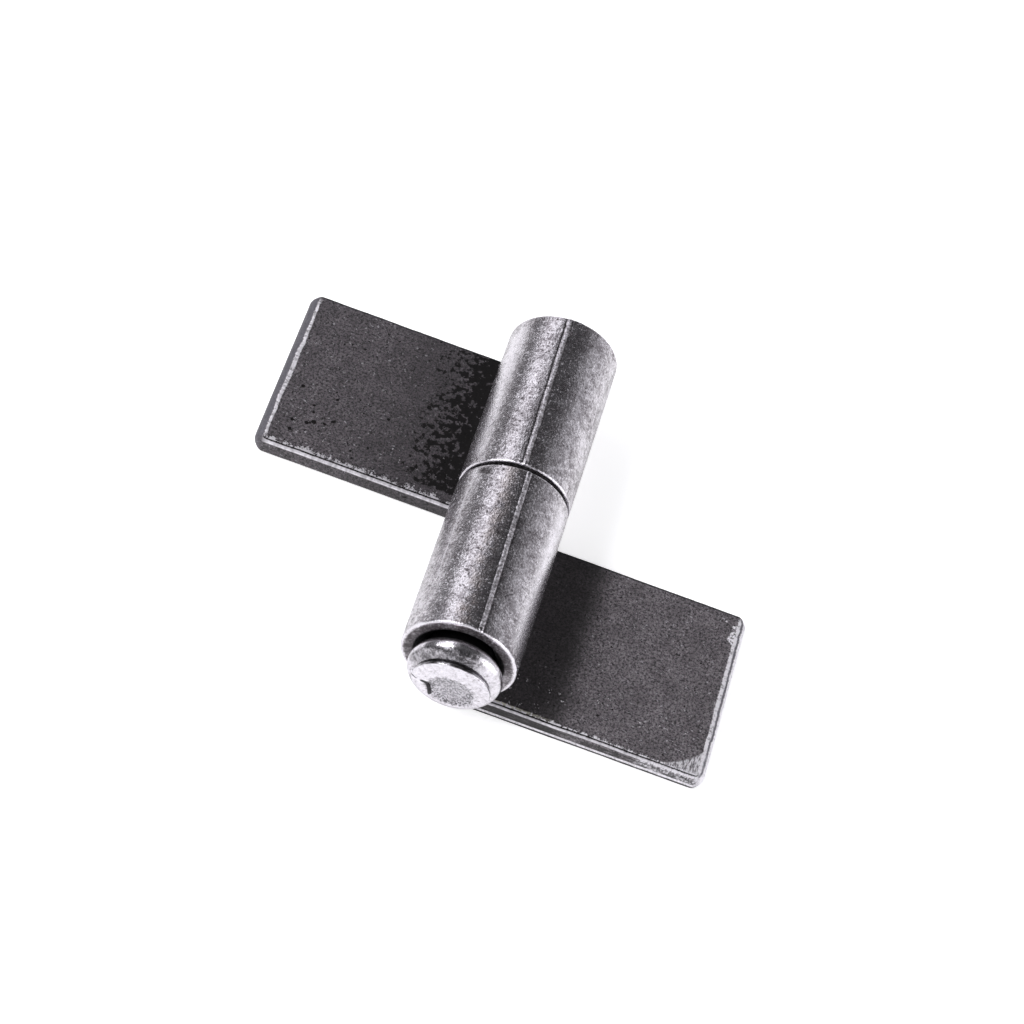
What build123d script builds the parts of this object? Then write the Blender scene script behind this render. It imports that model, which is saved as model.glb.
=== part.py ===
from build123d import *
from math import radians, tan
import os

# Weld-on barrel hinge, open flat at 180 degrees and lying on its weld faces.
# Two like halves, each a rolled sleeve seated in a flat leaf, turn on one headed pin.
# Frame: +X across the leaves, +Y along the hinge line, +Z up from the weld faces.
# The origin is the middle of the footprint. All sizes are in millimetres and degrees.

# Sleeves
sleeve_diameter = 17.2
sleeve_length = 29.6
sleeve_gap = 0.8
bore_diameter = 10.0
mouth_diameter = 13.4
outer_end_chamfer = 0.5
inner_end_chamfer = 0.4

# Butt seam of a rolled sleeve: a groove along the joint and a raised lip beside it
seam_groove_width = 0.5
seam_groove_depth = 0.3
seam_lip_radius = 1.0
seam_lip_height = 0.08
seam_lip_offset = 0.6
seam_skew = 1.2
lower_seam_angle = 10.5
upper_seam_angle = 3.5

# Leaves, cut from flat bar
leaf_reach = 39.5
leaf_width = 30.4
leaf_gap = 0.4
leaf_thickness = 3.2
leaf_underlap = 3.0
seat_depth = 1.6
free_end_radius = 1.3
plan_corner_radius = 1.6
long_edge_radius = 0.5

# Pin: pressed into the lower sleeve, running in the upper one
running_clearance = 0.05
pin_end_recess = 1.2
pin_end_chamfer = 0.8
collar_diameter = 13.9
collar_back = 1.0
collar_edge_radius = 0.8
shoulder_slope = 39.0
crease_height = 3.5
button_diameter = 11.7
button_front = 4.6
button_edge_radius = 0.6
button_tilt = 3.0

# Peened face of the pin: an off-centre dish, and the lap that folds over its edge
dish_radius = 3.4
dish_depth = 0.4
dish_drop = 1.2
dish_shift = 0.5
lap_start = (-3.7, -0.6)
lap_crest = (-2.4, -1.6)
lap_middle = (-2.8, -1.9)
lap_end = (-2.2, -3.5)
lap_depth = 0.6

# Derived sizes
sleeve_radius = sleeve_diameter / 2
bore_radius = bore_diameter / 2
running_radius = bore_radius - running_clearance
axis_height = leaf_thickness - seat_depth + sleeve_radius
outer_end = sleeve_gap / 2 + sleeve_length
leaf_end = leaf_gap / 2 + leaf_width


def turned(points, rounds):
    """Solid of revolution about Z from (radius, height) points; rounds lists (corner, radius)."""
    section = make_face(Polyline(*points, close=True))
    for corner, radius in rounds:
        section = fillet(section.vertices().sort_by_distance(corner)[0], radius)
    return revolve(Plane.XZ * section, Axis.Z)


def seam_strip(section, angle):
    """Carry a small section along the seam, which runs skew over the sleeve at an angle off the top."""
    bar = extrude(section, sleeve_length / 2, both=True)
    return Rot(Z=-angle) * Pos(0, 0, -sleeve_length / 2) * Rot(Y=seam_skew) * bar


def sleeve(seam_angle):
    """Sleeve on the Z axis, its countersunk outer end at height 0 and its seam on the +Y side."""
    mouth_radius = mouth_diameter / 2
    mouth_depth = mouth_radius - bore_radius
    tube = turned(
        [
            (bore_radius, -sleeve_length),
            (sleeve_radius - inner_end_chamfer, -sleeve_length),
            (sleeve_radius, inner_end_chamfer - sleeve_length),
            (sleeve_radius, -outer_end_chamfer),
            (sleeve_radius - outer_end_chamfer, 0),
            (mouth_radius, 0),
            (bore_radius, -mouth_depth),
        ],
        [],
    )

    lip_centre = sleeve_radius + seam_lip_height - seam_lip_radius
    lip = Pos(-seam_lip_offset, lip_centre) * Circle(seam_lip_radius)
    plain_length = sleeve_length - 2 * outer_end_chamfer
    between_rims = Box(sleeve_diameter, 2 * sleeve_diameter, plain_length)
    lip_bar = seam_strip(lip, seam_angle) & Pos(0, 0, -sleeve_length / 2) * between_rims

    root = sleeve_radius - seam_groove_depth
    brim = sleeve_radius + seam_groove_depth
    groove = make_face(
        Polyline(
            (0, root),
            (seam_groove_width, brim),
            (-seam_groove_width, brim),
            close=True,
        )
    )
    return tube + lip_bar - seam_strip(groove, seam_angle)


def leaf():
    """Lower leaf: rounded along its edges and its free end, with the seat that holds the sleeve."""
    length = leaf_underlap + leaf_reach
    plan = Rectangle(length, leaf_width, align=(Align.MIN, Align.MAX))
    plan = fillet(plan.vertices().group_by(Axis.X)[-1], plan_corner_radius)
    side = Rectangle(length, leaf_thickness, align=(Align.MIN, Align.MIN))
    side = fillet(side.vertices().group_by(Axis.X)[-1], free_end_radius)
    cross = Rectangle(leaf_width, leaf_thickness, align=(Align.MAX, Align.MIN))
    cross = fillet(cross.vertices(), long_edge_radius)

    plate = extrude(plan, leaf_thickness)
    plate &= extrude(Plane.XZ * side, leaf_width)
    plate &= extrude(Plane.YZ * cross, length)
    seat = Pos(leaf_underlap, 0, axis_height) * Rot(X=90) * Cylinder(sleeve_radius, 3 * leaf_width)
    return Pos(-leaf_underlap, -leaf_gap / 2, 0) * (plate - seat)


def button():
    """Peened end of the pin, standing a little askew on the collar, with its dish and lap."""
    radius = button_diameter / 2
    front_corner = (radius, button_front)
    disc = turned(
        [(0, crease_height), (radius, crease_height), front_corner, (0, button_front)],
        [(front_corner, button_edge_radius)],
    )

    ball_radius = (dish_radius**2 + dish_depth**2) / (2 * dish_depth)
    ball_height = button_front - dish_depth + ball_radius
    dish = Pos(dish_shift, -dish_drop, ball_height) * Sphere(ball_radius)

    lap_outline = make_face(
        ThreePointArc(lap_start, lap_middle, lap_end) + ThreePointArc(lap_start, lap_crest, lap_end)
    )
    lap = extrude(Pos(0, 0, button_front - lap_depth) * lap_outline, 2 * lap_depth)

    pivot = Pos(0, 0, crease_height)
    return pivot * Rot(X=button_tilt) * pivot.inverse() * (disc - dish - lap)


def hinge_pin():
    """Pin on the Z axis, with the outer end of the lower sleeve at height 0."""
    # The collar is a wedge in section, flat behind and sloped in front, with its tip rounded off.
    slope = radians(shoulder_slope)
    wedge_tip = collar_diameter / 2 + collar_edge_radius * (1 / tan(slope / 2) - 1)
    spigot_end = (crease_height + button_front) / 2
    spigot_side = wedge_tip - (spigot_end - collar_back) / tan(slope)
    junction = -sleeve_length - sleeve_gap / 2
    tip = pin_end_recess - 2 * outer_end
    body = turned(
        [
            (0, tip),
            (running_radius - pin_end_chamfer, tip),
            (running_radius, tip + pin_end_chamfer),
            (running_radius, junction),
            (bore_radius, junction),
            (bore_radius, collar_back),
            (wedge_tip, collar_back),
            (spigot_side, spigot_end),
            (0, spigot_end),
        ],
        [((wedge_tip, collar_back), collar_edge_radius)],
    )
    return body + button()


def lower(shape):
    """Place a turned shape on the hinge line, its height 0 at the near end of the barrel."""
    return Pos(0, -outer_end, axis_height) * Rot(X=90) * shape


pieces = {
    "lower_knuckle": lower(sleeve(lower_seam_angle)),
    "lower_leaf": leaf(),
    "hinge_pin": lower(hinge_pin()),
    "upper_knuckle": Rot(Z=180) * lower(sleeve(upper_seam_angle)),
    "upper_leaf": Rot(Z=180) * leaf(),
}

head_front = -pieces["hinge_pin"].bounding_box().min.Y
centring = Pos(0, (head_front - leaf_end) / 2, 0)

os.makedirs("parts", exist_ok=True)
for name, piece in pieces.items():
    export_step(centring * piece, f"parts/{name}.step")
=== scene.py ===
import math
from functools import partialmethod

import bpy
import numpy as np
from bpy.props import FloatProperty, FloatVectorProperty, PointerProperty
from mathutils import Matrix, Vector


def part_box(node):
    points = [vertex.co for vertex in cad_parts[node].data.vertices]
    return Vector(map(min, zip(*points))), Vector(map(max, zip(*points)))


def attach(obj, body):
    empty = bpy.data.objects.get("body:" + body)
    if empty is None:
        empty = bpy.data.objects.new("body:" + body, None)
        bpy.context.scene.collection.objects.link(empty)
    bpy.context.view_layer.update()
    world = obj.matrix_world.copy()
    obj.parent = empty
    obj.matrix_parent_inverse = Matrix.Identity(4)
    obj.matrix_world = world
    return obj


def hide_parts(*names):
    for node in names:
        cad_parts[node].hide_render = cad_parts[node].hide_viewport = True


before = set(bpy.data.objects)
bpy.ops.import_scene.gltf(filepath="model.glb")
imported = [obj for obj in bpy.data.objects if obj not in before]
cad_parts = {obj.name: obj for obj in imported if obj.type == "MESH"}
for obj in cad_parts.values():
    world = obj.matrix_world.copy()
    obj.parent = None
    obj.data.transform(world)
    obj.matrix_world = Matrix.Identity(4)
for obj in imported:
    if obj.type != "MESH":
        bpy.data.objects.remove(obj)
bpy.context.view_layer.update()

bl_info = {
    "name": "Weld-on barrel hinge",
    "version": (1, 0, 0),
    "blender": (4, 5, 0),
    "location": "3D View > Sidebar > Hinge",
    "description": "Builds a weld-on barrel hinge's surfaces and steels",
    "category": "Add Mesh",
}

MM = 0.001

# ---- Places and sizes that the frame fixes, in metres ----

LOWER_LOW, LOWER_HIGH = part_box("lower_knuckle")
UPPER_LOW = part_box("upper_knuckle")[0]
LEAF_LOW, LEAF_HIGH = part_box("lower_leaf")
PIN_LOW, PIN_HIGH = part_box("hinge_pin")

SLEEVE_RADIUS = (LOWER_HIGH.x - LOWER_LOW.x) / 2
SLEEVE_LENGTH = LOWER_HIGH.y - LOWER_LOW.y
AXIS_HEIGHT = LOWER_LOW.z + SLEEVE_RADIUS
JUNCTION_Y = (LOWER_HIGH.y + UPPER_LOW.y) / 2
HALF_GAP = (UPPER_LOW.y - LOWER_HIGH.y) / 2
OUTER_END = HALF_GAP + SLEEVE_LENGTH
LEAF_THICKNESS = LEAF_HIGH.z - LEAF_LOW.z
COLLAR_RADIUS = (PIN_HIGH.x - PIN_LOW.x) / 2


# ---- Settings ----


def length(name, description, millimetres):
    """A length property, stored in metres."""
    return FloatProperty(
        name=name, description=description, default=millimetres * MM, unit="LENGTH", subtype="DISTANCE"
    )


def degrees(name, description, value):
    """An angle property, stored in radians."""
    return FloatProperty(
        name=name, description=description, default=math.radians(value), unit="ROTATION", subtype="ANGLE"
    )


def colour(name, description, value):
    """A colour property, in linear red, green and blue."""
    return FloatVectorProperty(
        name=name, description=description, default=value, size=3, min=0.0, max=1.0, subtype="COLOR"
    )


class SleeveSettings(bpy.types.PropertyGroup):
    """Sizes and colours of the two rolled sleeves."""

    bore_radius: length("Bore radius", "Radius of the bore", 5.0)
    mouth_radius: length("Mouth radius", "Radius of the countersunk outer mouth", 6.7)
    rim_radius: length("Rim radius", "Rounding of the outer rims", 0.27)
    ridge_height: length("Ridge height", "Height of the ridge beside the seam", 0.065)
    ridge_width: length("Ridge width", "Half width of the ridge", 0.34)
    ridge_offset: length("Ridge offset", "Distance from the seam to the ridge", 0.5)
    crease_depth: length("Crease depth", "Depth of the seam's crease", 0.05)
    crease_width: length("Crease width", "Half width of the crease", 0.12)
    seam_skew: degrees("Seam skew", "Angle of the seam to the hinge line", 1.2)
    lower_seam: degrees("Lower seam", "Its angle from the top towards +X", 10.5)
    upper_seam: degrees("Upper seam", "Its angle from the top towards +X", -7.0)
    body: colour("Sleeve steel", "Tumbled bare steel", (0.74, 0.71, 0.75))
    hollow: colour("Dent bottoms", "Darker steel in the small dents", (0.22, 0.2, 0.215))
    # Also painted as shade on the end faces, on the gap faces and in the bore
    pit_and_shade: colour("Pits", "Dark bottoms of the deepest dents", (0.07, 0.06, 0.065))
    # Also painted as a highlight along one flank
    worn: colour("Worn steel", "Bright steel on rims and ridge", (0.86, 0.83, 0.88))


class LeafSettings(bpy.types.PropertyGroup):
    """Sizes and colours of the two flat leaves."""

    nose_radius: length("Free end rounding", "Rounding along the free end", 1.3)
    edge_radius: length("Long edge rounding", "Rounding along the two long edges", 0.6)
    corner_radius: length("Corner radius", "Corner radius in plan at the free end", 1.6)
    inner_radius: length("Inner end rounding", "Edge break of the end under the barrel", 0.12)
    lower_body: colour("Lower leaf steel", "Dark mill finish", (0.129, 0.116, 0.126))
    upper_body: colour("Upper leaf steel", "Darker mill finish", (0.102, 0.091, 0.1))
    fringe_reach: length("Fringe", "Width of the rubbed spots", 1.3)
    # Also the colour of painted shade: the barrel's shadow on the lower leaf and the dark foot of the
    # leaves' sides
    scale: colour("Weld scale", "Black scale beside the barrel", (0.01, 0.009, 0.009))
    # Also painted as highlights: along the rounded long edges, at the free end and as the floor's
    # reflection low on the lower leaf's sides
    worn: colour("Worn edge", "Bright steel where an edge is rubbed", (0.92, 0.89, 0.94))


class PinSettings(bpy.types.PropertyGroup):
    """Sizes and colours of the headed pin."""

    collar_back: length("Collar back", "From the barrel's end to the collar", 0.85)
    collar_edge: length("Collar edge", "Rounding of the collar's rim", 1.2)
    collar_swell: length("Collar swell", "How much fuller the collar is at its bottom", 0.6)
    head_drop: length("Head drop", "How far the collar hangs below the hinge line", 0.2)
    head_shift: length("Head shift", "Offset of the head towards +X", 0.2)
    crease: length("Crease", "From the barrel's end to the crease", 3.7)
    crease_radius: length("Crease radius", "Radius of the crease", 5.0)
    button_radius: length("Button radius", "Radius of the peened button", 5.8)
    button_front: length("Button front", "From the barrel's end to its face", 4.3)
    button_edge: length("Button edge", "Rounding of the button's rim", 0.25)
    button_drop: length("Button drop", "How far the button hangs below the hinge line", 0.8)
    button_tilt: degrees("Button tilt", "How far the button's top leans out", 5.2)
    dish_shift: length("Dish shift", "Offset of the dish towards +X", 0.3)
    dish_drop: length("Dish drop", "How far the dish lies below the middle", 1.4)
    dish_radius: length("Dish radius", "Radius of the dish", 3.4)
    dish_depth: length("Dish depth", "Depth of the dish", 0.4)
    body: colour("Pin steel", "Bright peened steel", (0.76, 0.735, 0.78))
    hollow: colour("Dish steel", "Duller steel in the dish", (0.33, 0.32, 0.345))


class StageSettings(bpy.types.PropertyGroup):
    """Camera and light."""

    azimuth: degrees("Azimuth", "Turn of the view about the vertical", 2.31)
    elevation: degrees("Elevation", "Height of the view above the floor", 52.63)
    roll: degrees("Roll", "Turn of the picture about the line of sight", 21.84)
    distance: length("Distance", "Distance of the camera", 445.4)
    lens: FloatProperty(name="Lens", description="Focal length", default=106.26, unit="CAMERA")
    lamp_power: FloatProperty(name="Lamp power", description="Soft box power", default=6.0, unit="POWER")


# ---- Surfaces from arrays ----


def value_noise(points, feature, seed):
    """Smooth noise from 0 to 1 in space: random values on a cubic lattice of the given feature size,
    mixed between the eight nearest lattice points with the weight 3t^2 - 2t^3 along each axis."""
    size, offset = 64, 1000.5
    table = np.random.default_rng(seed).random((size, size, size))
    place = points / feature + offset
    cell = np.floor(place).astype(int)
    step = place - cell
    weight = step * step * (3 - 2 * step)
    total = np.zeros(points.shape[:-1])
    for corner in np.ndindex(2, 2, 2):
        index = (cell + corner) % size
        share = np.prod(np.where(np.array(corner) == 1, weight, 1 - weight), axis=-1)
        total += share * table[index[..., 0], index[..., 1], index[..., 2]]
    return total


def ramp(x, low, high):
    """0 below low, 1 above high, and 3t^2 - 2t^3 between them."""
    t = np.clip((x - low) / (high - low), 0.0, 1.0)
    return t * t * (3 - 2 * t)


def evenly(start, end, spacing):
    """Values from start up to but not including end, about spacing apart."""
    count = max(1, int(round(abs(end - start) / spacing)))
    return np.linspace(start, end, count, endpoint=False)


def unevenness(points, seed, *layers):
    """The sum of depth * (noise - 1/2) over layers of (feature, depth) in millimetres."""
    total = 0
    for number, (feature, depth) in enumerate(layers):
        total = total + (value_noise(points, feature * MM, seed + number) - 0.5) * depth * MM
    return total


def rounded_profile(corners, radii, spacings, closed):
    """A line of straight runs joined by round corners, sampled as an array of (x, y) points.

    Each corner of radius r is the arc that touches both its runs at the distance r * tan(turn / 2)
    from the corner; each run is cut into steps of its own spacing."""
    corners = np.asarray(corners, float)
    count, arc_step = len(corners), 0.22
    arcs, line = [], []
    for i in range(count):
        here, before, after = corners[i], corners[i - 1], corners[(i + 1) % count]
        if radii[i] == 0 or (not closed and i in (0, count - 1)):
            arcs.append(here[None])
            continue
        inward, onward = ((end - here) / np.linalg.norm(end - here) for end in (before, after))
        half = math.acos(np.clip(inward @ onward, -1, 1)) / 2
        middle = (inward + onward) / np.linalg.norm(inward + onward)
        centre = here + middle * radii[i] / math.sin(half)
        first = here + inward * radii[i] / math.tan(half) - centre
        last = here + onward * radii[i] / math.tan(half) - centre
        sweep = math.pi - 2 * half
        t = np.linspace(0, 1, max(4, int(sweep / arc_step)) + 1)[:, None]
        turned = np.sin((1 - t) * sweep) * first + np.sin(t * sweep) * last
        arcs.append(centre + turned / math.sin(sweep))
    for i in range(count):
        line.append(arcs[i])
        if i == count - 1 and not closed:
            break
        a, b = arcs[i][-1], arcs[(i + 1) % count][0]
        t = evenly(0, 1, spacings[i] / max(np.linalg.norm(b - a), 1e-9))[1:, None]
        line.append(a + (b - a) * t)
    return np.vstack(line)


def grid_faces(rows, columns, wrap_rows, wrap_columns):
    """Quads between neighbours on a grid of vertex numbers, closed on itself where asked."""
    number = np.arange(rows * columns).reshape(rows, columns)
    if wrap_rows:
        number = np.vstack([number, number[:1]])
    if wrap_columns:
        number = np.hstack([number, number[:, :1]])
    quads = [number[:-1, :-1], number[1:, :-1], number[1:, 1:], number[:-1, 1:]]
    return np.stack(quads, axis=-1).reshape(-1, 4)


def linked(name, data):
    """A new object in the scene."""
    made = bpy.data.objects.new(name, data)
    bpy.context.scene.collection.objects.link(made)
    return made


def piece_from(name, body, node, slot, points, faces, material, marks=None):
    """Put a closed surface into a mesh, with its faces outwards, and give it to the frame: the body
    that it rides on and the solid that it replaces. The slot argument, for the material's slot, is not
    used. Marks are named values, one for each point, that the material can read.

    Doubled points are merged by their place, faces that lose a corner become triangles, and the
    whole is turned round if its signed volume, the sum of a . (b x c) / 6, is below zero."""
    _, first, merged = np.unique(np.round(points, 8), axis=0, return_index=True, return_inverse=True)
    vertices = points[first]
    faces = merged.reshape(-1)[faces]
    ahead = np.roll(faces, -1, axis=1)
    kept = faces != ahead
    whole = faces[kept.all(axis=1)]
    cut = kept.sum(axis=1) == 3
    triangles = faces[cut][kept[cut]].reshape(-1, 3)
    corners = np.vstack([whole[:, [0, 1, 2]], whole[:, [0, 2, 3]], triangles])
    a, b, c = (vertices[corners[:, i]] for i in range(3))
    if np.einsum("ij,ij->", a, np.cross(b, c)) < 0:
        whole, triangles = whole[:, ::-1], triangles[:, ::-1]
    mesh = bpy.data.meshes.new(name)
    mesh.from_pydata(vertices.tolist(), [], whole.tolist() + triangles.tolist())
    mesh.polygons.foreach_set("use_smooth", np.ones(len(mesh.polygons), bool))
    mesh.update()
    mesh.materials.append(material)
    for mark, values in (marks or {}).items():
        mesh.attributes.new(mark, "FLOAT", "POINT").data.foreach_set("value", values[first])
    piece = linked(name, mesh)
    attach(piece, body)
    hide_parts(node)


def about_junction(points):
    """Points taken from one half to the other, by half a turn about the upright line at the junction."""
    return points * (-1, -1, 1) + (0, 2 * JUNCTION_Y, 0)


def on_hinge_line(radius, along, angle):
    """Points at a radius and an angle from the top towards +X, along metres from the junction to -Y."""
    x, z = radius * np.sin(angle), AXIS_HEIGHT + radius * np.cos(angle)
    return np.stack([x, JUNCTION_Y - along, z], axis=-1)


def sleeve_points(settings, seam, seed):
    """The sleeve of the lower half: a closed section carried once round the hinge line.

    Section: bore, inner rim, outer wall, outer rim, end face, countersunk mouth. The angle of a point
    is the seam's angle, plus the seam's skew, plus s / R, with s the distance round the wall from the
    seam, so the grid follows the seam, and it is finest beside it. The outer wall is lowered by
    depth * exp(-(s / width)^2) in the crease of the seam and raised to a low, worn ridge beside it,
    both with noise along the seam. Noise also moves the whole wall a little and nicks the rims."""
    bore, mouth, wall = settings.bore_radius, settings.mouth_radius, SLEEVE_RADIUS
    near, far, rim = HALF_GAP, OUTER_END, settings.rim_radius
    inner_edge, mouth_edge, step, bore_step = 0.12 * MM, 0.1 * MM, 0.3 * MM, 1.0 * MM
    section = rounded_profile(
        [(near, bore), (near, wall), (far, wall), (far, mouth), (far - (mouth - bore), bore)],
        [inner_edge, rim, rim, mouth_edge, 0],
        [step, step, step, step, bore_step],
        True,
    )
    fine, coarse = 0.07 * MM, 0.3 * MM
    reach, round_way = 1.3 * MM, 2 * math.pi * wall
    arc = np.concatenate([evenly(-reach, reach, fine), evenly(reach, round_way - reach, coarse)])
    along, radius = (np.broadcast_to(v[:, None], (len(section), len(arc))) for v in section.T)
    middle = (near + far) / 2
    angle = seam + (along - middle) * math.tan(settings.seam_skew) / wall + arc[None] / wall
    base = on_hinge_line(radius, along, angle)

    outer = ramp(radius, wall - 0.35 * MM, wall - 0.02 * MM)
    s = np.where(arc > round_way / 2, arc - round_way, arc)[None]
    still, offset = along * 0, along * 0 + seed * MM
    s = s + unevenness(np.stack([along, still, offset], -1), seed, (3.1, 0.12))
    strength = 0.4 + 1.2 * value_noise(np.stack([along, offset, still], -1), 1.3 * MM, seed)
    width = settings.ridge_width
    ridge = 1 - ramp(np.abs(s + settings.ridge_offset), 0.4 * width, 1.1 * width)
    crease = np.exp(-((s / settings.crease_width) ** 2))
    seam_form = settings.ridge_height * strength * ridge - settings.crease_depth * strength * crease
    tumbled = unevenness(base, seed + 1, (2.3, 0.02), (1.0, 0.012))
    shift = outer * (seam_form + tumbled)

    to_rim = np.minimum(along - near, far - along)
    rims = ramp(radius, mouth, wall) * (1 - ramp(to_rim, 0, 0.5 * MM))
    nicks = rims * unevenness(base, seed + 3, (0.9, 0.12))
    return on_hinge_line(radius + shift - np.abs(nicks), along, angle)


# The lap on the button's face, lower end first: (towards +X, up) in millimetres from its middle
LAP = ((-2.36, -4.0), (-2.65, -2.9), (-2.95, -1.95), (-3.3, -1.4), (-3.65, -1.15), (-4.05, -1.06))


def pin_points(settings, bore, seed):
    """The pin: a section from its hidden tip to the middle of its face, carried round the hinge line,
    and for each point its distance along the section's axis.

    The collar's rim is a circle in section, and the shoulder is the line from the crease that touches
    it. The collar swells towards its bottom with (1 - cos(angle))^2 / 4. From the collar to the crease
    the section leans and drops little by little, so that the button stands askew. Its face is lowered
    by a dish, depth * (1 - (d / radius)^2) with d the distance from the dish's middle, and by the lap,
    a step along a bent line at its left that fades out to the right. Noise makes the head uneven."""
    collar_back, crease, front = settings.collar_back, settings.crease, settings.button_front
    edge, crease_radius, button = settings.collar_edge, settings.crease_radius, settings.button_radius
    fall, run = COLLAR_RADIUS - edge - crease_radius, crease - collar_back - edge
    slope = math.atan2(fall, run) + math.asin(edge / math.hypot(fall, run))
    wedge_tip = crease_radius + (crease - collar_back) * math.tan(slope)
    clearance, chamfer, back_edge = 0.05 * MM, 0.8 * MM, 0.3 * MM
    running = bore - clearance
    junction, tip = -OUTER_END - HALF_GAP, JUNCTION_Y - PIN_HIGH.y - OUTER_END
    corners = [
        (tip, 0), (tip, running - chamfer), (tip + chamfer, running), (junction, running),
        (junction, bore), (collar_back, bore), (collar_back, wedge_tip), (crease, crease_radius),
        (crease, button), (front, button), (front, 0),
    ]
    fold, button_back = 0.06 * MM, 0.12 * MM
    radii = [0, 0, 0, 0, 0, back_edge, edge, fold, button_back, settings.button_edge, 0]
    spacings = [v * MM for v in (2, 1, 3, 1, 3, 0.3, 0.12, 0.12, 0.12, 0.12)]
    section = rounded_profile(corners, radii, spacings, False)
    columns = 288
    angle = evenly(0, 2 * math.pi, 2 * math.pi / columns)
    way, radius = (np.broadcast_to(v[:, None], (len(section), len(angle))) for v in section.T)
    x, up = radius * np.sin(angle), radius * np.cos(angle)
    base = np.stack([x, way, up], -1)

    face = ramp(way, front - 0.2 * MM, front - 0.02 * MM)
    dish_way = np.hypot(x - settings.dish_shift, up + settings.dish_drop)
    dish = settings.dish_depth * np.clip(1 - (dish_way / settings.dish_radius) ** 2, 0, 1)
    lap_x, lap_up = np.array(LAP).T * MM
    past_lap = x - np.interp(up, lap_up, lap_x)
    lap_depth, hair = 0.28 * MM, 0.002 * MM
    lap = lap_depth * ramp(past_lap, -0.04 * MM, 0.1 * MM) * (1 - ramp(past_lap, 0.15 * MM, 1.3 * MM))
    lap = lap * ramp(up, -4.5 * MM, -3.9 * MM) * (1 - ramp(up, -1.2 * MM, -0.8 * MM))
    rough = unevenness(base, seed, (1.6, 0.06), (0.6, 0.022))
    head = ramp(way, collar_back, collar_back + 0.5 * MM)
    along = way - face * (dish + lap) + face * rough
    radius = radius + head * (1 - face) * rough * 1.3

    lean = ramp(way, collar_back + 2 * edge - 0.2 * MM, crease)
    swell = head * (1 - lean) * ((1 - np.cos(angle)) / 2) ** 2 * settings.collar_swell
    radius = radius + swell * 0.3
    along = along + swell + lean * radius * np.cos(angle) * math.tan(settings.button_tilt)
    along = np.minimum(along, JUNCTION_Y - PIN_LOW.y - OUTER_END - hair)
    drop = settings.head_drop + (settings.button_drop - settings.head_drop) * lean
    sideways = radius * np.sin(angle) + settings.head_shift * head
    upward = radius * np.cos(angle) - drop * head
    points = np.stack([sideways, JUNCTION_Y - OUTER_END - along, AXIS_HEIGHT + upward], axis=-1)
    return points, way


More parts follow.
